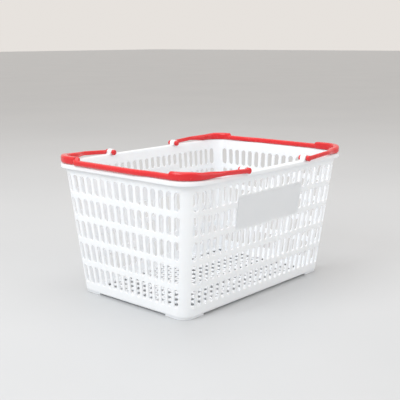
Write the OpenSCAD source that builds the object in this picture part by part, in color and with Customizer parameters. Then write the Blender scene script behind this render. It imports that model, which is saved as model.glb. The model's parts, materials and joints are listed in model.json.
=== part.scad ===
// Hand-held shopping basket: one open, slotted moulding with two folding bail handles.
// Frame: X along the basket, Y across it, Z up. Origin at the middle of the base, on the floor.

/* [Rim] */
// Outside length of the rim flange
rim_length = 484; // [460:1:510]
// Outside width of the rim flange
rim_width = 360; // [345:1:375]
// Height of the rim's top above the floor
rim_height = 255; // [240:1:270]
// How far the flange stands out beyond the walls
rim_overhang = 8.8; // [8:0.1:11]
// Depth of the lip that hangs from the flange's edge
lip_depth = 8; // [6:0.5:12]

/* [Body] */
// Outside length of the base
base_length = 420; // [405:1:430]
// Outside width of the base
base_width = 276; // [266:1:284]
// Outside radius of the four corner posts at the rim
corner_radius = 38; // [34:1:42]
// Outside radius of the base's corners
base_radius = 22; // [18:1:38]
// Wall thickness, measured level
wall = 2.8; // [2.2:0.1:3.4]
// Height of the corner feet
foot_height = 3; // [2:0.5:5]
// Length of each foot along a side, past the corner's curve
foot_leg = 28; // [8:1:60]

/* [Slots] */
// Slots in one row of a long side
side_slots = 25; // [21:2:27]
// Slots in one row of an end
end_slots = 16; // [12:2:18]
// Number of slot rows
slot_rows = 5; // [4:1:6]
// Slot width, as a share of the distance from slot to slot
slot_share = 0.62; // [0.5:0.01:0.7]
// Height of the solid band between two rows
band = 9.5; // [7:0.5:14]
// Height of the lowest slots above the floor
first_slot = 21.75; // [18:0.25:28]
// Solid band between the top row and the flange
top_band = 17.25; // [14:0.25:22]
// Slots left out on each side of the middle for the label panel
panel_slots = 5; // [3:1:7]

/* [Base grid] */
// Grid holes along the base
grid_long = 19; // [12:1:21]
// Grid holes across the base
grid_cross = 12; // [8:1:13]
// Width of the bars between the grid's holes
grid_bar = 6; // [4:0.5:8]

/* [Handles] */
// Distance of each pivot from the middle of the basket
pivot_x = 93; // [86:1:102]
// Height of the pivots above the rim's top
pivot_rise = 3.2; // [3.2:0.1:6]
// Width of the handle's grip, across its length
grip_width = 12; // [10:0.5:13]
// Height of the grip when it lies folded
grip_height = 10; // [8:0.5:11]
// Height of the handle's corners when it lies folded
bend_height = 15; // [13:0.5:16]
// How far the long run of the grip stands outside the rim
grip_offset = 5; // [3:0.5:7]
// Diameter of the pivot pins
pin_d = 5; // [4:0.5:5]

/* [Hidden] */
$fn = 64;

white = [0.93, 0.95, 0.96];
red = [0.86, 0.1, 0.12];

flange_thickness = 3;
lip_thickness = 2.5;
floor_thickness = 3;
thin = 0.02;            // thickness of the end slices of a hulled post
gap = 0.35;             // clearance between parts that move past each other
fit = 0.05;             // radial clearance of a pin in its lug

wall_top = rim_height - flange_thickness;
wall_foot = foot_height + floor_thickness;
base_x = base_length / 2;
base_y = base_width / 2;
top_x = rim_length / 2 - rim_overhang;
top_y = rim_width / 2 - rim_overhang;

// Half length and half width of the walls' outside at height z; the corner posts' radius and centre.
function wall_x(z) = base_x + (top_x - base_x) * z / wall_top;
function wall_y(z) = base_y + (top_y - base_y) * z / wall_top;
function post_r(z) = base_radius + (corner_radius - base_radius) * z / wall_top;
function post_x(z) = wall_x(z) - post_r(z);
function post_y(z) = wall_y(z) - post_r(z);

slot_height = (wall_top - top_band - first_slot - (slot_rows - 1) * band) / slot_rows;
row_pitch = slot_height + band;
side_wrap = 14.2;       // how far round the post's curve the last slot of a long side sits
end_wrap = 8.2;         // the same for the last slot of an end
level = first_slot + (slot_rows - 1) * row_pitch + slot_height / 2; // height where the pitch is laid out
side_pitch = 2 * (post_x(level) + side_wrap) / (side_slots - 1);
end_pitch = 2 * (post_y(level) + end_wrap) / (end_slots - 1);
panel_half = (panel_slots + 1) * side_pitch - side_pitch * slot_share / 2;
panel_low = first_slot + (slot_rows - 2) * row_pitch - band + 1;
panel_high = first_slot + (slot_rows - 1) * row_pitch + slot_height * 0.34;

lug_half = 11;
lug_radius = 7;
lug_inner = rim_width / 2 - rim_overhang - wall;
lug_outer = rim_width / 2 - 0.4;
pivot_z = rim_height + pivot_rise;
arm_inner = rim_width / 2 + gap;
arm_width = 6.5;
arm_height = 8.4;
arm_reach = 62;         // distance from the pivot to where the arm leaves the rim's outline
arm_lift = 2.15;        // height of the arm's underside there, above the handle's own underside
arm_droop = 1.55;       // how far the arm's underside has sunk below it at the pivot
boss_radius = 5.5;
head_d = 11;
head_length = 5.5;
socket_depth = 5.5;
bend_width = 12.5;
handle_base = rim_height + gap;
bend_radius = corner_radius + rim_overhang;
bend_x = rim_length / 2 - bend_radius;
bend_y = rim_width / 2 - bend_radius;
flush_y = rim_width / 2;

// Where the grip changes its line, as shares of its length from the handle's back end.
long_run_start = 0.2;
long_run_end = 0.63;
short_run_start = 0.76;
short_run_end = 0.87;
function along(t) = rim_width / 2 - t * rim_width;

// ---- outlines ----

module rounded_rectangle(half_x, half_y, r) {
    square([2 * half_x, 2 * (half_y - r)], center = true);
    square([2 * (half_x - r), 2 * half_y], center = true);
    for (sx = [-1, 1], sy = [-1, 1]) translate([sx * (half_x - r), sy * (half_y - r)]) circle(r);
}

// Outline of an upright slot: its ends are half an octagon each.
function slot_end(r, y, start) = [for (a = [start : 45 : start + 180]) [r * cos(a), y + r * sin(a)]];

module slot_outline(width, height) {
    middle = (height - width) / 2;
    polygon(concat(slot_end(width / 2, middle, 0), slot_end(width / 2, -middle, 180)));
}

// One slot of a wall, leaning with the walls' taper; x and z are in the wall's elevation.
module slot(offset_at_level, lean, z0, z1, width) {
    x0 = offset_at_level * (1 + lean * (z0 - level));
    x1 = offset_at_level * (1 + lean * (z1 - level));
    tilt = atan2(x1 - x0, z1 - z0);
    translate([(x0 + x1) / 2, (z0 + z1) / 2]) rotate(-tilt) slot_outline(width, norm([x1 - x0, z1 - z0]));
}

// The slots of one wall. Those under the label panel are cut short or left out.
module slot_field(count, pitch, lean, with_panel) {
    for (row = [0 : slot_rows - 1], k = [0 : count - 1]) {
        place = (k - (count - 1) / 2) * pitch;
        z0 = first_slot + row * row_pitch;
        width = pitch * slot_share * (1 + lean * (z0 + slot_height / 2 - level));
        blocked = with_panel && abs(place) < panel_half && z0 + slot_height > panel_low && z0 < panel_high;
        z_low = blocked ? panel_high : z0;
        if (z0 + slot_height - z_low > width * 1.3) slot(place, lean, z_low, z0 + slot_height, width);
    }
}

side_lean = (top_x - base_x) / wall_top / wall_x(level);
end_lean = (top_y - base_y) / wall_top / wall_y(level);

// ---- basket moulding ----

module floor_grid() color(white) translate([0, 0, foot_height]) linear_extrude(floor_thickness) difference() {
    rounded_rectangle(base_x, base_y, base_radius);
    pitch_x = (2 * base_x - 36) / grid_long;
    pitch_y = (2 * base_y - 32) / grid_cross;
    for (i = [0 : grid_long - 1], j = [0 : grid_cross - 1]) {
        x = (i - (grid_long - 1) / 2) * pitch_x;
        y = (j - (grid_cross - 1) / 2) * pitch_y;
        hole = [pitch_x - grid_bar, pitch_y - grid_bar];
        past_x = max(0, abs(x) + hole[0] / 2 - base_x + base_radius);
        past_y = max(0, abs(y) + hole[1] / 2 - base_y + base_radius);
        if (norm([past_x, past_y]) < base_radius - wall - 1) translate([x, y]) square(hole, center = true);
    }
}

// Slab between the outside and the inside of one leaning wall, running along X.
module leaning_slab(length, foot_half, head_half) {
    rotate([90, 0, 90]) linear_extrude(length, center = true)
        polygon([[-foot_half, wall_foot], [-head_half, wall_top],
            [-head_half + wall, wall_top], [-foot_half + wall, wall_foot]]);
}

module long_wall() color(white) intersection() {
    leaning_slab(rim_length, wall_y(wall_foot), wall_y(wall_top));
    rotate([90, 0, 0]) linear_extrude(rim_width) difference() {
        polygon([[-post_x(wall_foot), wall_foot], [post_x(wall_foot), wall_foot],
            [post_x(wall_top), wall_top], [-post_x(wall_top), wall_top]]);
        slot_field(side_slots, side_pitch, side_lean, true);
    }
}

module end_wall() color(white) intersection() {
    leaning_slab(rim_width, wall_x(wall_foot), wall_x(wall_top));
    rotate([90, 0, 0]) linear_extrude(rim_length) difference() {
        polygon([[-post_y(wall_foot), wall_foot], [post_y(wall_foot), wall_foot],
            [post_y(wall_top), wall_top], [-post_y(wall_top), wall_top]]);
        slot_field(end_slots, end_pitch, end_lean, false);
    }
}

module wall_front() long_wall();
module wall_back() rotate(180) long_wall();
module wall_left() rotate(-90) end_wall();
module wall_right() rotate(90) end_wall();

// Slice of a corner post at height z, between two directions seen from the post's centre.
module post_slice(z, from, to) translate([post_x(z), post_y(z), z]) linear_extrude(thin) intersection() {
    circle(post_r(z), $fn = 48);
    polygon([[0, 0], 2 * post_r(z) * [cos(from), sin(from)], 2 * post_r(z) * [cos(to), sin(to)]]);
}

module post_inside(z) translate([post_x(z), post_y(z), z])
    cylinder(r = post_r(z) - wall, h = thin, $fn = 48);

// Slots that run on round the post. Drawn for the wall that lies along X and faces +Y;
// x0 and y0 are the post's centre at floor level, run and rise its lean along and across that wall.
module post_slots(count, pitch, lean, x0, y0, run, rise) {
    for (row = [0 : slot_rows - 1], k = [ceil(count * 0.8) : count - 1]) {
        place = (k - (count - 1) / 2) * pitch;
        z = first_slot + row * row_pitch + slot_height / 2;
        width = pitch * slot_share * (1 + lean * (z - level));
        past = place * (1 + lean * (z - level)) - x0 - run * z;
        turn = past > width / 2 ? past / post_r(z) * 180 / PI : 0;
        shift = turn > 0 ? 0 : past;
        drift = run * cos(turn) - rise * sin(turn) + place * lean - run
            - turn * PI / 180 * (corner_radius - base_radius) / wall_top;
        if (past > -width) translate([x0 + run * z, y0 + rise * z, z]) rotate([0, 0, -turn])
            translate([shift, post_r(z) + 10, 0]) rotate([90, 0, 0]) linear_extrude(25)
                rotate(-atan(drift)) slot_outline(width, slot_height);
    }
}

// Upright strip of a quarter-round corner, leaning outwards on both sides.
module post_strip(from, to) color(white) difference() {
    hull() {
        post_slice(wall_foot, from, to);
        post_slice(wall_top - thin, from, to);
    }
    hull() {
        post_inside(wall_foot - 1);
        post_inside(wall_top + 1);
    }
    children();
}

post_run = (post_x(wall_top) - post_x(0)) / wall_top;
post_rise = (post_y(wall_top) - post_y(0)) / wall_top;
end_edge = 37.5;        // directions where a corner is cut into its three strips
side_edge = 52.5;

module post() post_strip(end_edge, side_edge);

module post_side() post_strip(side_edge, 90)
    post_slots(side_slots, side_pitch, side_lean, post_x(0), post_y(0), post_run, post_rise);

module post_end() post_strip(0, end_edge)
    mirror([1, -1, 0]) post_slots(end_slots, end_pitch, end_lean, post_y(0), post_x(0), post_rise, post_run);

module at_corner(sx, sy) mirror([sx < 0 ? 1 : 0, 0, 0]) mirror([0, sy < 0 ? 1 : 0, 0]) children();

module post_front_left() at_corner(-1, -1) post();
module post_front_right() at_corner(1, -1) post();
module post_back_left() at_corner(-1, 1) post();
module post_back_right() at_corner(1, 1) post();
module post_side_front_left() at_corner(-1, -1) post_side();
module post_side_front_right() at_corner(1, -1) post_side();
module post_side_back_left() at_corner(-1, 1) post_side();
module post_side_back_right() at_corner(1, 1) post_side();
module post_end_front_left() at_corner(-1, -1) post_end();
module post_end_front_right() at_corner(1, -1) post_end();
module post_end_back_left() at_corner(-1, 1) post_end();
module post_end_back_right() at_corner(1, 1) post_end();

// Section of the rim: a level flange on top of the wall, with a lip hanging from its edge.
// x is measured from the corner's centre, y is height.
module rim_section() polygon([
    [corner_radius - wall, wall_top], [corner_radius - wall, rim_height],
    [bend_radius, rim_height], [bend_radius, rim_height - lip_depth],
    [bend_radius - lip_thickness, rim_height - lip_depth], [bend_radius - lip_thickness, wall_top]]);

module rim_side(half_length, centre) color(white)
    translate([0, -centre, 0]) rotate([90, 0, -90])
        linear_extrude(2 * half_length, center = true) rim_section();

module rim_front() rim_side(bend_x, bend_y);
module rim_back() rotate(180) rim_side(bend_x, bend_y);
module rim_left() rotate(-90) rim_side(bend_y, bend_x);
module rim_right() rotate(90) rim_side(bend_y, bend_x);

module rim_corner() color(white) translate([bend_x, bend_y, 0]) rotate_extrude(angle = 90) rim_section();

module rim_corner_front_left() at_corner(-1, -1) rim_corner();
module rim_corner_front_right() at_corner(1, -1) rim_corner();
module rim_corner_back_left() at_corner(-1, 1) rim_corner();
module rim_corner_back_right() at_corner(1, 1) rim_corner();

// Flat panel for a label, standing a little proud of the long wall.
panel_rise = 0.8;
module label_panel() color(white) {
    y0 = wall_y(panel_low + 2);
    y1 = wall_y(panel_high - 2);
    rotate([90, 0, 90]) linear_extrude(2 * panel_half - 4, center = true)
        polygon([[-y0, panel_low + 2], [-y1, panel_high - 2],
            [-y1 - panel_rise, panel_high - 2], [-y0 - panel_rise, panel_low + 2]]);
}

module label_panel_front() label_panel();
module label_panel_back() rotate(180) label_panel();

// Upstanding ear on the rim, bored for a pivot pin.
module lug() color(white) translate([pivot_x, lug_outer, 0]) rotate([90, 0, 0])
    linear_extrude(lug_outer - lug_inner) difference() {
        intersection() {
            translate([-lug_half, rim_height]) square([2 * lug_half, 30]);
            union() {
                translate([0, pivot_z]) circle(lug_radius);
                polygon([[-lug_half, rim_height], [lug_half, rim_height],
                    [lug_radius, pivot_z], [-lug_radius, pivot_z]]);
            }
        }
        translate([0, pivot_z]) circle(pin_d / 2 + fit);
    }

module lug_front_left() at_corner(-1, -1) lug();
module lug_front_right() at_corner(1, -1) lug();
module lug_back_left() at_corner(-1, 1) lug();
module lug_back_right() at_corner(1, 1) lug();

// L-shaped foot under one corner of the base.
foot_width = 9;
module foot() color(white) linear_extrude(foot_height) intersection() {
    difference() {
        rounded_rectangle(base_x, base_y, base_radius);
        rounded_rectangle(base_x - foot_width, base_y - foot_width, base_radius - foot_width);
    }
    translate([base_x - base_radius - foot_leg, base_y - base_radius - foot_leg]) square(rim_length);
}

module foot_front_left() at_corner(-1, -1) foot();
module foot_front_right() at_corner(1, -1) foot();
module foot_back_left() at_corner(-1, 1) foot();
module foot_back_right() at_corner(1, 1) foot();

// ---- handles ----
// Drawn folded on the left half of the rim; the right handle is the left one turned half round.

flush = rim_length / 2;

// A straight length of the grip between two places along it, its outer face at x = -outer.
module grip_run(y0, y1, outer, width, height) translate([-outer, min(y0, y1), handle_base])
    cube([width, abs(y1 - y0), height]);

module grip() color(red) {
    y_long = along(long_run_start);
    y_jog = along(long_run_end);
    y_short = along(short_run_start);
    grip_run(bend_y, y_long, flush, bend_width, bend_height);
    grip_run(y_long, y_jog, flush + grip_offset, grip_width, grip_height);
    hull() {
        grip_run(y_jog, y_jog - thin, flush + grip_offset, grip_width, grip_height);
        grip_run(y_short, y_short + thin, flush, grip_width, grip_height);
    }
    grip_run(y_short, -bend_y, flush, grip_width, grip_height);
}

// Round corner between the grip and an arm, drawn for the back end.
module bend() color(red) translate([-bend_x, bend_y, 0]) rotate([0, 0, 90]) rotate_extrude(angle = 90)
    translate([bend_radius - bend_width, handle_base]) square([bend_width, bend_height]);

// Arm from a corner to its pivot: it swings out past the rim's edge, then sinks beside it.
module arm_slice(x, y, lift, width, height) translate([-x, y, handle_base + lift])
    cube([thin, width, height]);

module arm() color(red) difference() {
    union() {
        hull() {
            arm_slice(bend_x, flush_y - bend_width, 0, bend_width, bend_height);
            arm_slice(pivot_x + arm_reach, arm_inner, arm_lift, arm_width, arm_height);
        }
        hull() {
            arm_slice(pivot_x + arm_reach, arm_inner, arm_lift, arm_width, arm_height);
            arm_slice(pivot_x, arm_inner, -arm_droop, arm_width, arm_height);
        }
        translate([-pivot_x, arm_inner + arm_width, pivot_z]) rotate([90, 0, 0])
            cylinder(r = boss_radius, h = arm_width);
    }
    translate([-pivot_x, arm_inner - 1, pivot_z]) rotate([-90, 0, 0])
        cylinder(d = pin_d, h = socket_depth + 1);
}

module mirrored() mirror([0, 1, 0]) children();

module grip_left() grip();
module bend_back_left() bend();
module bend_front_left() mirrored() bend();
module arm_back_left() arm();
module arm_front_left() mirrored() arm();
module grip_right() rotate(180) grip();
module bend_front_right() rotate(180) bend();
module bend_back_right() rotate(180) mirrored() bend();
module arm_front_right() rotate(180) arm();
module arm_back_right() rotate(180) mirrored() arm();

// Pivot pin: a round head inside the basket, a shank through the lug into the arm's end.
module pin() color(red) translate([pivot_x, lug_inner - gap, pivot_z]) rotate([-90, 0, 0]) {
    cylinder(d = pin_d, h = arm_inner - lug_inner + gap + socket_depth);
    translate([0, 0, -head_length]) rotate_extrude() {
        square([head_d / 2 - 1.5, head_length]);
        translate([0, 1.5]) square([head_d / 2, head_length - 1.5]);
        translate([head_d / 2 - 1.5, 1.5]) circle(1.5);
    }
}

module pin_front_left() at_corner(-1, -1) pin();
module pin_back_left() at_corner(-1, 1) pin();
module pin_front_right() at_corner(1, -1) pin();
module pin_back_right() at_corner(1, 1) pin();

floor_grid();
wall_front();
wall_back();
wall_left();
wall_right();
post_side_front_left();
post_side_front_right();
post_side_back_left();
post_side_back_right();
post_front_left();
post_front_right();
post_back_left();
post_back_right();
post_end_front_left();
post_end_front_right();
post_end_back_left();
post_end_back_right();
rim_front();
rim_back();
rim_left();
rim_right();
rim_corner_front_left();
rim_corner_front_right();
rim_corner_back_left();
rim_corner_back_right();
label_panel_front();
label_panel_back();
lug_front_left();
lug_front_right();
lug_back_left();
lug_back_right();
foot_front_left();
foot_front_right();
foot_back_left();
foot_back_right();
grip_left();
bend_front_left();
bend_back_left();
arm_front_left();
arm_back_left();
grip_right();
bend_front_right();
bend_back_right();
arm_front_right();
arm_back_right();
pin_front_left();
pin_back_left();
pin_front_right();
pin_back_right();
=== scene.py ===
import json
import math
import bpy
import bmesh
from mathutils import Matrix, Vector


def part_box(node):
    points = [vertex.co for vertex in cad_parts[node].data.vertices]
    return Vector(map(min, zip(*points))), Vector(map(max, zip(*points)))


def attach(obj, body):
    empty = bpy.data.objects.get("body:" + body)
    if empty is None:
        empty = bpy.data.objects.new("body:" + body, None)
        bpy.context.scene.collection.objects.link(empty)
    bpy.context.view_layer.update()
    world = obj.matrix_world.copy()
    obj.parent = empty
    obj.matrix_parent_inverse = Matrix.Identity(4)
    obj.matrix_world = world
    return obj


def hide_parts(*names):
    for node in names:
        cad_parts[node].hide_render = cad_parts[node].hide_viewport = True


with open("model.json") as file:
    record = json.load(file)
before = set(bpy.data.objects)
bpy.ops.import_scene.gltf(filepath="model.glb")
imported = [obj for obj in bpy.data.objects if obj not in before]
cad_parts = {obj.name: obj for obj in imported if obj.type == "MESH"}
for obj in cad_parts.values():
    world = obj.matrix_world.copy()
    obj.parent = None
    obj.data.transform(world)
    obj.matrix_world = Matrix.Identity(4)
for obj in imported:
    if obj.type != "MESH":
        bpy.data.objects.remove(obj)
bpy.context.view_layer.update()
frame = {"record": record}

MM = 0.001

# ---------------------------------------------------------------- sizes, most of them taken from the frame
def lo(node):
    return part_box(node)[0]


def hi(node):
    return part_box(node)[1]


RIM_X = -lo("rim_left")[0]                  # half length over the flange
RIM_Y = -lo("rim_front")[1]                 # half width over the flange
RIM_TOP = hi("rim_front")[2]
LIP_LOW = lo("rim_front")[2]
FLOOR_LOW = lo("floor_grid")[2]
FLOOR_TOP = hi("floor_grid")[2]
BASE_X = hi("floor_grid")[0]
BASE_Y = hi("floor_grid")[1]
WALL_TOP = hi("wall_front")[2]
TOP_X = -lo("wall_left")[0]
TOP_Y = -lo("wall_front")[1]
OVERHANG = RIM_X - TOP_X
RIM_RADIUS = hi("rim_corner_back_right")[0] - lo("rim_corner_back_right")[0]
RADIUS = RIM_RADIUS - OVERHANG              # outside radius of the corner posts at the rim
BASE_RADIUS = 22 * MM                       # and at the base
WALL = 2.8 * MM                             # thickness of the moulding
pivots = {joint["child"]: Vector(joint["pos_m"]) for joint in frame["record"]["behaviour"]["joints"]}
PIVOT_X = pivots["handle_right"].x
PIVOT_Z = pivots["handle_right"].z

# slot layout
SIDE_SLOTS, END_SLOTS, ROWS = 25, 16, 5     # slots in a row of a long side and of an end, and the rows
FIRST_SLOT, SLOT_H, BAND = 21.75 * MM, 35.0 * MM, 9.5 * MM
ROW_PITCH = SLOT_H + BAND
SHARE = 0.62                                # a slot's width as a share of its pitch
SIDE_WRAP, END_WRAP = 14.2 * MM, 8.2 * MM   # how far round the posts the last slots sit
LEVEL = FIRST_SLOT + (ROWS - 1) * ROW_PITCH + SLOT_H / 2    # height where the pitch is laid out
PANEL_SLOTS = 5                             # slots that a label panel covers either side of the middle one
PANEL_TOP = FIRST_SLOT + (ROWS - 1) * ROW_PITCH + SLOT_H * 0.34     # the slots above it are cut short here
PANEL_LOW = FIRST_SLOT + (ROWS - 2) * ROW_PITCH - BAND + 1 * MM
ARC_STEPS = 8                               # quads round a slot's end
RUN_STEPS = 3                               # quads along its straight part
POST_STEPS = 6                              # quads round the plain part of a post

# base
RING_REACH = 16 * MM                        # how far the shell turns in at the floor
PLATE_INSET = 14 * MM                       # the floor plate's edge, which overlaps that ring
GRID_LONG, GRID_CROSS, GRID_BAR = 19, 12, 6 * MM
GRID_INSET_X, GRID_INSET_Y = 18 * MM, 16 * MM
FOOT_LEG, FOOT_INSET, FOOT_WIDTH = 28 * MM, 1 * MM, 8 * MM

# handles, as they lie folded
BEND_W = 12.5 * MM                          # width of the thick corners
GRIP_W, GRIP_H = 12.0 * MM, 10.0 * MM
GRIP_OFFSET = 5 * MM                        # how far the long run of the grip stands outside the rim
RUN_FROM, JOG_FROM, JOG_TO, RUN_TO = 0.2, 0.63, 0.76, 0.87  # shares of the end, counted from the back
GRIP_EASE = 3 * MM                          # length over which the grip steps in and out of its corners
ARM_W, ARM_H = 6.5 * MM, 8.4 * MM
ARM_INNER = 180.35 * MM                     # y of the arm's inner face
ARM_REACH = 62 * MM                         # from the pivot to where the arm swings in over the rim
ARM_LIFT, ARM_DROOP = 2.15 * MM, 1.55 * MM  # its underside above the corners' there, and below at the pivot
NECK = 12.4 * MM                            # height where the corner hands over to the arm
BOSS_RADIUS, BOSS_EDGE = 5.5 * MM, 1.4 * MM
PIN_RADIUS, BORE_RADIUS = 2.5 * MM, 2.55 * MM
PIN_LENGTH = 17.3 * MM                      # from the head to the pin's end inside the boss
HEAD_RADIUS, HEAD_LENGTH, HEAD_EDGE = 5.5 * MM, 5.5 * MM, 2.2 * MM
HEAD_FACE = 168.05 * MM                     # y of the head's face beside the lug


# half length, half width and post radius of the walls' outside at height z
def half_x(z):
    return BASE_X + (TOP_X - BASE_X) * z / WALL_TOP


def half_y(z):
    return BASE_Y + (TOP_Y - BASE_Y) * z / WALL_TOP


def radius(z):
    return BASE_RADIUS + (RADIUS - BASE_RADIUS) * z / WALL_TOP


class Side:
    """One wall, with the coordinate q running along it and on round both of its posts."""

    def __init__(self, along, out, half_along, half_out, count, wrap, has_panel):
        self.along, self.out = Vector(along), Vector(out)
        self.half_along, self.half_out = half_along, half_out
        self.count, self.has_panel = count, has_panel
        reach = half_along(LEVEL) - radius(LEVEL) + wrap
        self.pitch = 2 * reach / (count - 1)
        grow = (half_along(WALL_TOP) - half_along(0)) / WALL_TOP
        self.lean = grow / half_along(LEVEL)

    def scale(self, z):
        """How much wider the wall is at z than at LEVEL; the slot columns spread with it."""
        return 1 + self.lean * (z - LEVEL)

    def turn(self, q, z):
        """Angle round the post at q, in radians; q is measured at height z."""
        return max(0.0, abs(q) - self.half_along(z) + radius(z)) / radius(z)

    def at(self, q, z, out=0.0, height=None):
        """Point on the outside at q and z; out moves it outwards, height overrides its z."""
        r = radius(z)
        flat = self.half_along(z) - r
        depth = self.half_out(z) - r
        sign = 1 if q >= 0 else -1
        angle = self.turn(q, z)
        if angle > 0:
            a = sign * (flat + (r + out) * math.sin(angle))
            b = depth + (r + out) * math.cos(angle)
        else:
            a, b = q, depth + r + out
        p = self.along * a + self.out * b
        return Vector((p.x, p.y, z if height is None else height))


SIDES = [
    Side((1, 0), (0, -1), half_x, half_y, SIDE_SLOTS, SIDE_WRAP, True),
    Side((0, 1), (1, 0), half_y, half_x, END_SLOTS, END_WRAP, False),
    Side((-1, 0), (0, 1), half_x, half_y, SIDE_SLOTS, SIDE_WRAP, True),
    Side((0, -1), (-1, 0), half_y, half_x, END_SLOTS, END_WRAP, False),
]


# ---------------------------------------------------------------- mesh helpers
def new_object(name, bm):
    me = bpy.data.meshes.new(name)
    bm.to_mesh(me)
    bm.free()
    obj = bpy.data.objects.new(name, me)
    bpy.context.scene.collection.objects.link(obj)
    return obj


def settle(obj, bevel=0.0, angle=40, thickness=None):
    """Give the piece its thickness and rounded edges, and make them its own mesh."""
    if thickness:
        m = obj.modifiers.new("thickness", "SOLIDIFY")
        m.thickness, m.offset = thickness, -1
        m.use_even_offset = True
        m.use_quality_normals = True
    if bevel:
        m = obj.modifiers.new("edges", "BEVEL")
        m.width, m.segments = bevel, 2
        m.limit_method, m.angle_limit = "ANGLE", math.radians(angle)
        m.use_clamp_overlap = True
    for poly in obj.data.polygons:
        poly.use_smooth = True
    m = obj.modifiers.new("shading", "WEIGHTED_NORMAL")
    m.keep_sharp = True
    graph = bpy.context.evaluated_depsgraph_get()
    graph.update()
    done = bpy.data.meshes.new_from_object(obj.evaluated_get(graph), preserve_all_data_layers=True,
                                           depsgraph=graph)
    obj.modifiers.clear()
    old = obj.data
    obj.data = done
    bpy.data.meshes.remove(old)
    return obj


class Sheet:
    """Collects quads and welds their corners."""

    def __init__(self):
        self.bm = bmesh.new()
        self.known = {}

    def vert(self, p):
        key = (round(p.x * 2e5), round(p.y * 2e5), round(p.z * 2e5))
        if key not in self.known:
            self.known[key] = self.bm.verts.new(p)
        return self.known[key]

    def face(self, *points):
        verts = []
        for p in points:
            v = self.vert(p)
            if v not in verts:
                verts.append(v)
        if len(verts) > 2:
            self.bm.faces.new(verts)

    def strip(self, lower, upper):
        for a, b, c, d in zip(lower[:-1], lower[1:], upper[1:], upper[:-1]):
            self.face(a, b, c, d)


def spread(a, b, n):
    """From a to b in n equal steps."""
    return [a + (b - a) * i / n for i in range(n + 1)]


def mix(a, b, t):
    return a + (b - a) * t


def ease(t):
    """Smooth rise from 0 to 1."""
    return t * t * (3 - 2 * t)


# ---------------------------------------------------------------- the basket's shell
def slot_cell(sheet, side, place, z0, z1, hole):
    """A cell of the wall from z0 to z1, one pitch wide, with a slot from hole[0] to hole[1]."""
    p = side.pitch

    def at(u, z):
        return side.at((place + u * p) * side.scale(z), z)

    us = spread(-0.5, 0.5, ARC_STEPS)
    zs = spread(z0, z1, RUN_STEPS)
    if hole is None:
        for za, zb in zip(zs[:-1], zs[1:]):
            sheet.strip([at(u, za) for u in us], [at(u, zb) for u in us])
        return
    h0, h1 = hole
    r = p * SHARE / 2 * side.scale((h0 + h1) / 2)
    inner_z = spread(h0 + r, h1 - r, RUN_STEPS)
    angles = spread(0.0, math.pi, ARC_STEPS)
    low = [at(-SHARE / 2 * math.cos(a), h0 + r - r * math.sin(a)) for a in angles]
    high = [at(-SHARE / 2 * math.cos(a), h1 - r + r * math.sin(a)) for a in angles]
    sheet.strip([at(u, z0) for u in us], low)
    sheet.strip(high, [at(u, z1) for u in us])
    left_out = [at(-0.5, z) for z in zs]
    left_in = [at(-SHARE / 2, z) for z in inner_z]
    sheet.strip(left_in, left_out)
    right_out = [at(0.5, z) for z in zs]
    right_in = [at(SHARE / 2, z) for z in inner_z]
    sheet.strip(right_out, right_in)


def perimeter():
    """Stations round the basket: (side, place at LEVEL), or on a post (side, next side, share of it)."""
    stations = []
    for i, side in enumerate(SIDES):
        half = side.count / 2 * side.pitch
        stations += [(side, q) for q in spread(-half, half, side.count * ARC_STEPS)]
        other = SIDES[(i + 1) % 4]
        stations += [(side, other, k / POST_STEPS) for k in range(1, POST_STEPS)]
    return stations


def on_post(side, other, t, z, out=0.0, height=None):
    """Point on the plain part of the post between two sides, t from 0 to 1."""
    start = side.turn(side.count / 2 * side.pitch * side.scale(z), z)
    end = math.pi / 2 - other.turn(other.count / 2 * other.pitch * other.scale(z), z)
    angle = start + (end - start) * t
    q = side.half_along(z) - radius(z) + radius(z) * angle
    return side.at(q, z, out, height)


def ring(z, out=0.0, height=None):
    """The closed line of points round the shell at height z."""
    points = []
    for s in perimeter():
        if len(s) == 2:
            side, place = s
            points.append(side.at(place * side.scale(z), z, out, height))
        else:
            points.append(on_post(s[0], s[1], s[2], z, out, height))
    return points


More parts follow.
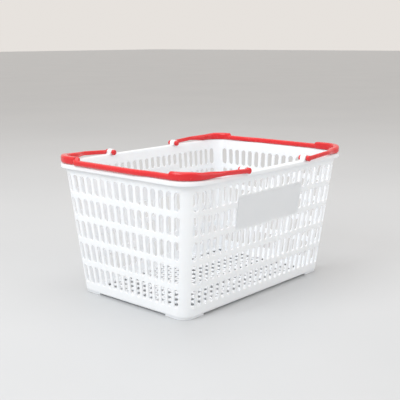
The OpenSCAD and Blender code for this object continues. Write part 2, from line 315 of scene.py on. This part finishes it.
def shell():
    """The slotted walls, the posts, the flange and the base's edge as one sheet, thickened inwards."""
    sheet = Sheet()
    edges = [FIRST_SLOT - BAND / 2 + r * ROW_PITCH for r in range(ROWS + 1)]
    for side in SIDES:
        for row in range(ROWS):
            z0, z1 = edges[row], edges[row + 1]
            for k in range(side.count):
                place = (k - (side.count - 1) / 2) * side.pitch
                hole = (z0 + BAND / 2, z1 - BAND / 2)
                if side.has_panel and abs(k - (side.count - 1) / 2) < PANEL_SLOTS + 0.5:
                    if row == ROWS - 2:
                        hole = None
                    if row == ROWS - 1:
                        hole = (PANEL_TOP, hole[1])
                slot_cell(sheet, side, place, z0, z1, hole)
    for i, side in enumerate(SIDES):
        other = SIDES[(i + 1) % 4]
        for row in range(ROWS):
            zs = spread(edges[row], edges[row + 1], RUN_STEPS)
            for za, zb in zip(zs[:-1], zs[1:]):
                ts = spread(0.0, 1.0, POST_STEPS)
                sheet.strip([on_post(side, other, t, za) for t in ts],
                            [on_post(side, other, t, zb) for t in ts])
    # upper band, flange and lip
    under = RIM_TOP - WALL
    edge = OVERHANG - WALL
    crease = 0.4 * MM
    above = [ring(edges[-1]), ring(under - 2 * MM), ring(under, 0.6 * MM), ring(under, edge - crease),
             ring(under, edge, under - crease), ring(under, edge, LIP_LOW)]
    # lower band, the round edge of the base and the start of the floor
    fillet = 4 * MM
    start = FLOOR_LOW + fillet
    below = [ring(edges[0]), ring(start + 2 * MM)]
    for a in spread(0.0, math.pi / 2, 4):
        below.append(ring(start, -fillet * (1 - math.cos(a)), start - fillet * math.sin(a)))
    below.append(ring(start, -RING_REACH, FLOOR_LOW))
    below.reverse()
    for line in (above, below):
        for a, b in zip(line[:-1], line[1:]):
            sheet.strip(a + a[:1], b + b[:1])
    bm = sheet.bm
    bmesh.ops.recalc_face_normals(bm, faces=bm.faces)
    # the thickness is added inwards, so the faces have to look outwards
    sample = max(bm.faces, key=lambda f: f.calc_center_median().x - abs(f.calc_center_median().z - LEVEL))
    if sample.normal.x < 0:
        bmesh.ops.reverse_faces(bm, faces=bm.faces)
    obj = new_object("basket_shell", bm)
    return settle(obj, bevel=0.7 * MM, thickness=WALL)


# ---------------------------------------------------------------- floor, feet, panels and lugs
def grid_cuts(count, half, inset):
    """Edges of the bars and holes across the floor plate, from one side to the other."""
    pitch = (2 * half - 2 * inset) / count
    cuts = [-(half - PLATE_INSET)]
    for i in range(count):
        c = (i - (count - 1) / 2) * pitch
        cuts += [c - (pitch - GRID_BAR) / 2, c + (pitch - GRID_BAR) / 2]
    return cuts + [half - PLATE_INSET]


def floor_plate():
    """The floor's grid, with the holes that would cut into the round corners left out."""
    xs = grid_cuts(GRID_LONG, BASE_X, GRID_INSET_X)
    ys = grid_cuts(GRID_CROSS, BASE_Y, GRID_INSET_Y)
    keep = BASE_RADIUS - PLATE_INSET
    cx, cy = BASE_X - BASE_RADIUS, BASE_Y - BASE_RADIUS

    def rounded(x, y):
        dx, dy = abs(x) - cx, abs(y) - cy
        if dx > 0 and dy > 0 and math.hypot(dx, dy) > keep:
            k = keep / math.hypot(dx, dy)
            x, y = math.copysign(cx + dx * k, x), math.copysign(cy + dy * k, y)
        return Vector((x, y, FLOOR_TOP - 0.3 * MM))

    sheet = Sheet()
    for i in range(len(xs) - 1):
        for j in range(len(ys) - 1):
            if i % 2 == 1 and j % 2 == 1:
                far_x = max(0.0, max(abs(xs[i]), abs(xs[i + 1])) - cx)
                far_y = max(0.0, max(abs(ys[j]), abs(ys[j + 1])) - cy)
                if math.hypot(far_x, far_y) < BASE_RADIUS - WALL - 1 * MM:
                    continue
            sheet.face(rounded(xs[i], ys[j]), rounded(xs[i + 1], ys[j]),
                       rounded(xs[i + 1], ys[j + 1]), rounded(xs[i], ys[j + 1]))
    obj = new_object("floor_plate", sheet.bm)
    return settle(obj, bevel=0.6 * MM, thickness=FLOOR_TOP - FLOOR_LOW - 0.6 * MM)


def outline_corner(sx, sy, inset, steps=14):
    """Plan line along one corner of the base, inset from its outline, with a straight leg each way."""
    r = BASE_RADIUS - inset
    cx, cy = BASE_X - BASE_RADIUS, BASE_Y - BASE_RADIUS
    pts = [(cx - FOOT_LEG, cy + r)]
    for i in range(steps + 1):
        a = math.pi / 2 * (1 - i / steps)
        pts.append((cx + r * math.cos(a), cy + r * math.sin(a)))
    pts.append((cx + r, cy - FOOT_LEG))
    return [Vector((sx * x, sy * y, 0)) for x, y in pts]


def foot(name, sx, sy):
    """Strip under one corner of the base, on which the basket stands."""
    outer = outline_corner(sx, sy, FOOT_INSET)
    inner = outline_corner(sx, sy, FOOT_INSET + FOOT_WIDTH)
    bm = bmesh.new()
    loops = []
    for line, z in ((outer, 0), (inner, 0), (inner, FLOOR_LOW + 1 * MM), (outer, FLOOR_LOW + 1 * MM)):
        loops.append([bm.verts.new((p.x, p.y, z)) for p in line])
    for a, b in zip(loops, loops[1:] + loops[:1]):
        for i in range(len(a) - 1):
            bm.faces.new((a[i], a[i + 1], b[i + 1], b[i]))
    bm.faces.new([l[0] for l in loops])
    bm.faces.new([l[-1] for l in loops])
    bmesh.ops.recalc_face_normals(bm, faces=bm.faces)
    return settle(new_object(name, bm), bevel=0.7 * MM, angle=50)


def label_plate(name, side):
    """Plain panel a little proud of the wall, with rounded corners."""
    inset, proud, sunk = 2 * MM, 0.8 * MM, 0.6 * MM
    half = (PANEL_SLOTS + 1) * side.pitch - side.pitch * SHARE / 2 - inset
    z0, z1 = PANEL_LOW + inset, PANEL_TOP - inset
    r = 4 * MM
    pts = []
    for cx, cz, a0 in ((half - r, z1 - r, 0), (-half + r, z1 - r, 90),
                       (-half + r, z0 + r, 180), (half - r, z0 + r, 270)):
        for i in range(7):
            a = math.radians(a0 + 15 * i)
            pts.append((cx + r * math.cos(a), cz + r * math.sin(a)))
    bm = bmesh.new()
    front = [bm.verts.new(side.at(x, z, proud)) for x, z in pts]
    back = [bm.verts.new(side.at(x, z, -sunk)) for x, z in pts]
    bm.faces.new(front)
    bm.faces.new(back[::-1])
    for i in range(len(pts)):
        j = (i + 1) % len(pts)
        bm.faces.new((front[i], front[j], back[j], back[i]))
    bmesh.ops.recalc_face_normals(bm, faces=bm.faces)
    return settle(new_object(name, bm), bevel=0.3 * MM, angle=50)


def lug(name, sx):
    """Ear on the rim with a bore for the pin; its foot spreads into the flange."""
    half = (hi(name)[0] - lo(name)[0]) / 2
    r = hi(name)[2] - PIVOT_Z
    base = RIM_TOP - 0.6 * MM

    def flare(sign, t):
        """Point on the spreading foot, from the round top's side at t = 0 to the flange at t = 1."""
        return sign * (r + (half - r) * t * t), PIVOT_Z + (base - PIVOT_Z) * (1 - (1 - t) ** 1.4)

    pts = []
    for i in range(25):
        a = math.pi * i / 24
        pts.append((r * math.cos(a), PIVOT_Z + r * math.sin(a)))
    pts += [flare(-1, i / 6) for i in range(1, 7)]
    pts += [(-half + 2 * half * i / 10, base) for i in range(1, 10)]
    pts += [flare(1, i / 6) for i in range(6, 0, -1)]
    bm = bmesh.new()
    rows = []
    for y in (lo(name)[1], hi(name)[1]):
        outer, inner = [], []
        for x, z in pts:
            a = math.atan2(z - PIVOT_Z, x)
            outer.append(bm.verts.new((sx * PIVOT_X + x, y, z)))
            inner.append(bm.verts.new((sx * PIVOT_X + BORE_RADIUS * math.cos(a), y,
                                       PIVOT_Z + BORE_RADIUS * math.sin(a))))
        rows.append((outer, inner))
    n = len(pts)
    for i in range(n):
        j = (i + 1) % n
        for outer, inner in rows:
            bm.faces.new((outer[i], outer[j], inner[j], inner[i]))
        for k in (0, 1):
            bm.faces.new((rows[0][k][i], rows[0][k][j], rows[1][k][j], rows[1][k][i]))
    bmesh.ops.recalc_face_normals(bm, faces=bm.faces)
    return settle(new_object(name + "_look", bm), bevel=0.6 * MM, angle=50)


# ---------------------------------------------------------------- handles
def section(width, height, steps=5):
    """Rounded section, x across from -width/2, z up from 0, going round once."""
    roundest, share = 4.4 * MM, 0.46
    r = min(roundest, width * share, height * share)
    pts = []
    for cx, cz, a0 in ((1, 1, 0), (-1, 1, 90), (-1, 0, 180), (1, 0, 270)):
        for i in range(steps + 1):
            a = math.radians(a0 + 90 * i / steps)
            x = cx * (width / 2 - r) + r * math.cos(a)
            z = (height - r if cz else r) + r * math.sin(a)
            pts.append((x, z))
    return pts


def handle_stations():
    """Stations of the left handle from its back pivot to its front one: centre, width, bottom, height."""
    base = lo("bend_back_left")[2]
    tall = hi("bend_back_left")[2] - base
    cx, cy = RIM_X - RIM_RADIUS, RIM_Y - RIM_RADIUS
    arm_y = hi("arm_back_left")[1] - ARM_W / 2
    mid_r = RIM_RADIUS - BEND_W / 2
    cross = PIVOT_X + ARM_REACH
    arm = []
    for i in range(13):                      # beside the rim, sinking towards the pivot
        t = i / 12
        place = Vector((-mix(PIVOT_X, cross, t), arm_y))
        arm.append((place, ARM_W, base + mix(-ARM_DROOP, ARM_LIFT, t), ARM_H))
    for i in range(1, 13):                   # swinging in over the rim, growing into the corner
        t = i / 12
        place = Vector((-mix(cross, cx, t), mix(arm_y, RIM_Y - BEND_W / 2, ease(t))))
        arm.append((place, mix(ARM_W, BEND_W, ease(t)),
                    base + ARM_LIFT * (1 - ease(t)), mix(ARM_H, NECK, ease(t))))
    corner = []
    for i in range(1, 17):
        a = math.pi / 2 * i / 16
        place = Vector((-cx - mid_r * math.sin(a), cy + mid_r * math.cos(a)))
        corner.append((place, BEND_W, base, mix(NECK, tall, ease(min(1.0, i / 8)))))
    back = arm + corner
    front = [(Vector((p.x, -p.y)), w, z, h) for p, w, z, h in reversed(back)]

    def along(t):
        return RIM_Y - 2 * RIM_Y * t

    def corner_end(y, swell):
        return Vector((-(RIM_X - BEND_W / 2), y)), BEND_W, base, tall * swell

    def run(x, y, swell=1.0):
        return Vector((-x, y)), GRIP_W, base, GRIP_H * swell

    outer = RIM_X + GRIP_OFFSET - GRIP_W / 2
    inner = RIM_X - GRIP_W / 2
    begin, end = along(RUN_FROM), along(RUN_TO)
    grip = [corner_end(begin + GRIP_EASE, 1.0), corner_end(begin + GRIP_EASE * 0.6, 0.97),
            run(outer, begin - GRIP_EASE * 0.6, 1.03), run(outer, begin - GRIP_EASE)]
    for i in range(1, 8):                    # the long run outside the rim
        grip.append(run(outer, mix(begin - GRIP_EASE, along(JOG_FROM), i / 7)))
    for i in range(1, 9):                    # the jog back over it
        t = i / 8
        grip.append(run(mix(outer, inner, ease(t)), mix(along(JOG_FROM), along(JOG_TO), t)))
    grip += [run(inner, along((JOG_TO + RUN_TO) / 2)), run(inner, end + GRIP_EASE * 1.4),
             run(inner, end + GRIP_EASE * 1.2, 1.03), corner_end(end + GRIP_EASE * 0.2, 0.97)]
    return back + grip + front


def loft(stations):
    """Skin the rounded section over the stations, square to their line, and close both ends."""
    bm = bmesh.new()
    rings = []
    centres = [s[0] for s in stations]
    for i, (c, w, z, h) in enumerate(stations):
        a, b = centres[max(0, i - 1)], centres[min(len(centres) - 1, i + 1)]
        t = (b - a).normalized()
        across = Vector((t.y, -t.x))
        # on the end's run the sections stay square to the end, also where the line steps or jogs
        if abs(t.y) > 0.8 and abs(c.y) < RIM_Y - RIM_RADIUS:
            across = Vector((math.copysign(1, across.x), 0))
        rings.append([bm.verts.new((c.x + across.x * x, c.y + across.y * x, z + dz))
                      for x, dz in section(w, h)])
    n = len(rings[0])
    for a, b in zip(rings[:-1], rings[1:]):
        for i in range(n):
            j = (i + 1) % n
            bm.faces.new((a[i], a[j], b[j], b[i]))
    bm.faces.new(rings[0])
    bm.faces.new(rings[-1][::-1])
    bmesh.ops.recalc_face_normals(bm, faces=bm.faces)
    return bm


def lathe(bm, profile, origin, sign, steps=40):
    """Turn (radius, distance) points about an axis along Y, starting at origin."""
    rings = []
    angles = [2 * math.pi * i / steps for i in range(steps)]
    for r, d in profile:
        y = origin.y + sign * d
        if r == 0:
            rings.append([bm.verts.new((origin.x, y, origin.z))])
            continue
        rings.append([bm.verts.new((origin.x + r * math.cos(a), y, origin.z + r * math.sin(a)))
                      for a in angles])
    for a, b in zip(rings[:-1], rings[1:]):
        for i in range(steps):
            j = (i + 1) % steps
            quad = [a[i % len(a)], a[j % len(a)], b[j % len(b)], b[i % len(b)]]
            bm.faces.new(list(dict.fromkeys(quad)))


def boss_profile(length):
    """Drum with rounded edges at both ends."""
    r, edge = BOSS_RADIUS, BOSS_EDGE
    pts = [(0, 0)]
    for a in spread(0.0, math.pi / 2, 4):
        pts.append((r - edge + edge * math.sin(a), edge - edge * math.cos(a)))
    for a in spread(0.0, math.pi / 2, 4):
        pts.append((r - edge + edge * math.cos(a), length - edge + edge * math.sin(a)))
    return pts + [(0, length)]


def pin_profile():
    """Domed head inside the rim, then the pin that runs through the lug into the boss."""
    r, edge, chamfer = HEAD_RADIUS, HEAD_EDGE, 0.6 * MM
    reach = PIN_LENGTH + HEAD_LENGTH
    pts = [(0, 0)]
    for a in spread(0.0, math.pi / 2, 6):
        pts.append((r - edge + edge * math.sin(a), edge - edge * math.cos(a)))
    pts += [(r, HEAD_LENGTH - chamfer), (r - chamfer, HEAD_LENGTH)]
    return pts + [(PIN_RADIUS, HEAD_LENGTH), (PIN_RADIUS, reach), (0, reach)]


def turned(name, profile, distance, signs):
    """Turned pieces about the left handle's pivot line, each starting at sign * distance from the middle."""
    bm = bmesh.new()
    for sign in signs:
        lathe(bm, profile, Vector((-PIVOT_X, sign * distance, PIVOT_Z)), sign)
    bmesh.ops.recalc_face_normals(bm, faces=bm.faces)
    return new_object(name, bm)


def handle(side):
    """One handle and its two pins by end; the right one is the left one turned half round."""
    bar = new_object("handle_" + side + "_bar", loft(handle_stations()))
    bosses = turned("boss_" + side, boss_profile(hi("arm_back_left")[1] - ARM_INNER), ARM_INNER, (-1, 1))
    m = bar.modifiers.new("join", "BOOLEAN")
    m.operation, m.object, m.solver = "UNION", bosses, "EXACT"
    settle(bar)
    bpy.data.objects.remove(bosses)
    pins = {}
    for sign, end in ((-1, "front"), (1, "back")):
        name = "pin_look_" + end + "_" + side
        pins[end] = settle(turned(name, pin_profile(), HEAD_FACE - HEAD_LENGTH, (sign,)))
    if side == "right":
        half_turn = Matrix.Rotation(math.pi, 4, "Z")
        for piece in (bar, *pins.values()):
            piece.data.transform(half_turn)
        pins = {"back": pins["front"], "front": pins["back"]}
    return bar, pins


# ---------------------------------------------------------------- materials
def plastic(name, colour, shade, roughness, subsurface, depth, coat, grain):
    """Moulded plastic: slow colour drift, fine grain, faint flow marks and varied gloss."""
    mat = bpy.data.materials.new(name)
    mat.use_nodes = True
    tree = mat.node_tree
    nodes, links = tree.nodes, tree.links
    shader = nodes["Principled BSDF"]
    shader.inputs["Subsurface Weight"].default_value = subsurface
    shader.inputs["Subsurface Scale"].default_value = depth
    shader.inputs["Subsurface Radius"].default_value = (1.0, 0.95, 0.9)
    shader.inputs["Coat Weight"].default_value = coat
    shader.inputs["Coat Roughness"].default_value = 0.15
    shader.inputs["IOR"].default_value = 1.5
    place = nodes.new("ShaderNodeTexCoord")

    drift = nodes.new("ShaderNodeTexNoise")
    drift.inputs["Scale"].default_value = 9.0
    drift.inputs["Detail"].default_value = 3.0
    links.new(place.outputs["Object"], drift.inputs["Vector"])
    ramp = nodes.new("ShaderNodeValToRGB")
    ramp.color_ramp.elements[0].position, ramp.color_ramp.elements[1].position = 0.3, 0.7
    ramp.color_ramp.elements[0].color = (*shade, 1)
    ramp.color_ramp.elements[1].color = (*colour, 1)
    links.new(drift.outputs["Fac"], ramp.inputs["Fac"])
    links.new(ramp.outputs["Color"], shader.inputs["Base Color"])

    gloss = nodes.new("ShaderNodeTexNoise")
    gloss.inputs["Scale"].default_value = 60.0
    gloss.inputs["Detail"].default_value = 4.0
    links.new(place.outputs["Object"], gloss.inputs["Vector"])
    span = nodes.new("ShaderNodeMapRange")
    span.inputs["To Min"].default_value = roughness - 0.07
    span.inputs["To Max"].default_value = roughness + 0.09
    links.new(gloss.outputs["Fac"], span.inputs["Value"])
    links.new(span.outputs["Result"], shader.inputs["Roughness"])

    flow = nodes.new("ShaderNodeTexNoise")
    flow.inputs["Scale"].default_value = 25.0
    flow.inputs["Detail"].default_value = 2.0
    fine = nodes.new("ShaderNodeTexNoise")
    fine.inputs["Scale"].default_value = grain
    fine.inputs["Detail"].default_value = 2.0
    for n in (flow, fine):
        links.new(place.outputs["Object"], n.inputs["Vector"])
    first = nodes.new("ShaderNodeBump")
    first.inputs["Strength"].default_value = 0.12
    first.inputs["Distance"].default_value = 0.0004
    second = nodes.new("ShaderNodeBump")
    second.inputs["Strength"].default_value = 0.10
    second.inputs["Distance"].default_value = 0.0001
    links.new(flow.outputs["Fac"], first.inputs["Height"])
    links.new(fine.outputs["Fac"], second.inputs["Height"])
    links.new(first.outputs["Normal"], second.inputs["Normal"])
    links.new(second.outputs["Normal"], shader.inputs["Normal"])
    return mat


WHITE = plastic("white_moulded", (0.87, 0.895, 0.92), (0.84, 0.87, 0.90), 0.36, 0.45, 0.006, 0.05, 1400.0)
RED = plastic("red_moulded", (0.74, 0.008, 0.014), (0.66, 0.006, 0.011), 0.24, 0.0, 0.002, 0.35, 1600.0)


def dress(obj, material, body):
    """Give a piece its material and the body it rides on."""
    obj.data.materials.clear()
    obj.data.materials.append(material)
    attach(obj, body)


# ---------------------------------------------------------------- putting it together
CORNERS = [("front_left", -1, -1), ("front_right", 1, -1), ("back_left", -1, 1), ("back_right", 1, 1)]
CORNER_KINDS = ("post_", "post_side_", "post_end_", "rim_corner_")
body = shell()
dress(body, WHITE, "basket")
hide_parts("wall_front", "wall_back", "wall_left", "wall_right", "rim_front", "rim_back", "rim_left",
            "rim_right", *[kind + corner[0] for kind in CORNER_KINDS for corner in CORNERS])
plate = floor_plate()
dress(plate, WHITE, "basket")
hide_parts("floor_grid")
for node, side in (("label_panel_front", SIDES[0]), ("label_panel_back", SIDES[2])):
    panel = label_plate(node + "_look", side)
    dress(panel, WHITE, "basket")
    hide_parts(node)
for name, sx, sy in CORNERS:
    pad = foot("foot_look_" + name, sx, sy)
    dress(pad, WHITE, "basket")
    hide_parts("foot_" + name)
    ear = lug("lug_" + name, sx)
    dress(ear, WHITE, "basket")
    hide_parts("lug_" + name)
for side in ("left", "right"):
    bar, pins = handle(side)
    dress(bar, RED, "handle_" + side)
    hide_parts(*[n + side for n in ("grip_", "bend_front_", "bend_back_", "arm_front_", "arm_back_")])
    for end, pin in pins.items():
        dress(pin, RED, "handle_" + side)
        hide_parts("pin_" + end + "_" + side)

# ---------------------------------------------------------------- floor, light and camera
ground = bmesh.new()
bmesh.ops.create_grid(ground, x_segments=1, y_segments=1, size=30)
floor = new_object("studio_floor", ground)
stone = bpy.data.materials.new("studio_floor")
stone.use_nodes = True
tree = stone.node_tree
surface = tree.nodes["Principled BSDF"]
surface.inputs["Roughness"].default_value = 0.45
mottle = tree.nodes.new("ShaderNodeTexNoise")
mottle.inputs["Scale"].default_value = 1.5
mottle.inputs["Detail"].default_value = 4.0
tone = tree.nodes.new("ShaderNodeValToRGB")
tone.color_ramp.elements[0].color = (0.54, 0.555, 0.57, 1)
tone.color_ramp.elements[1].color = (0.60, 0.61, 0.62, 1)
where = tree.nodes.new("ShaderNodeTexCoord")
tree.links.new(where.outputs["Object"], mottle.inputs["Vector"])
tree.links.new(mottle.outputs["Fac"], tone.inputs["Fac"])
tree.links.new(tone.outputs["Color"], surface.inputs["Base Color"])
floor.data.materials.append(stone)

world = bpy.data.worlds.new("studio")
bpy.context.scene.world = world
world.use_nodes = True
world.node_tree.nodes["Background"].inputs["Color"].default_value = (0.80, 0.765, 0.73, 1)
world.node_tree.nodes["Background"].inputs["Strength"].default_value = 1.0
bpy.context.scene.view_settings.view_transform = "Standard"


def area(name, position, target, size, power, colour):
    """Round area light at position, aimed at target."""
    lamp = bpy.data.lights.new(name, "AREA")
    lamp.shape, lamp.size, lamp.energy, lamp.color = "DISK", size, power, colour
    obj = bpy.data.objects.new(name, lamp)
    obj.location = position
    obj.rotation_euler = (Vector(target) - Vector(position)).to_track_quat("-Z", "Y").to_euler()
    bpy.context.scene.collection.objects.link(obj)


area("key", (-2.4, 0.2, 2.0), (0, 0, 0.1), 1.8, 44, (0.93, 0.97, 1.0))
area("top", (0.2, 0.3, 2.6), (0, 0, 0.1), 2.4, 22, (0.97, 0.98, 1.0))
area("front", (0.8, -2.6, 1.2), (0, 0, 0.12), 2.2, 15, (0.96, 0.98, 1.0))

# The camera stands a little above the rim, looking at the corner between the left end and the front.
AZIMUTH, ELEVATION, ROLL = math.radians(-48.251), math.radians(11.683), math.radians(-0.256)
DISTANCE, TARGET, FOCAL = 1.5635, Vector((-0.0011, 0.0127, 0.1652)), 1.93129
back = Vector((math.sin(AZIMUTH) * math.cos(ELEVATION), -math.cos(AZIMUTH) * math.cos(ELEVATION),
               math.sin(ELEVATION)))
level_right = Vector((0, 0, 1)).cross(back).normalized()
level_up = back.cross(level_right)
right = level_right * math.cos(ROLL) + level_up * math.sin(ROLL)
up = level_up * math.cos(ROLL) - level_right * math.sin(ROLL)
camera = bpy.data.cameras.new("camera")
camera.sensor_width = 36
camera.lens = camera.sensor_width * FOCAL
camera.clip_end = 100
eye = bpy.data.objects.new("camera", camera)
eye.matrix_world = Matrix((
    (right.x, up.x, back.x, 0), (right.y, up.y, back.y, 0), (right.z, up.z, back.z, 0), (0, 0, 0, 1)))
eye.location = TARGET + back * DISTANCE
bpy.context.scene.collection.objects.link(eye)
bpy.context.scene.camera = eye
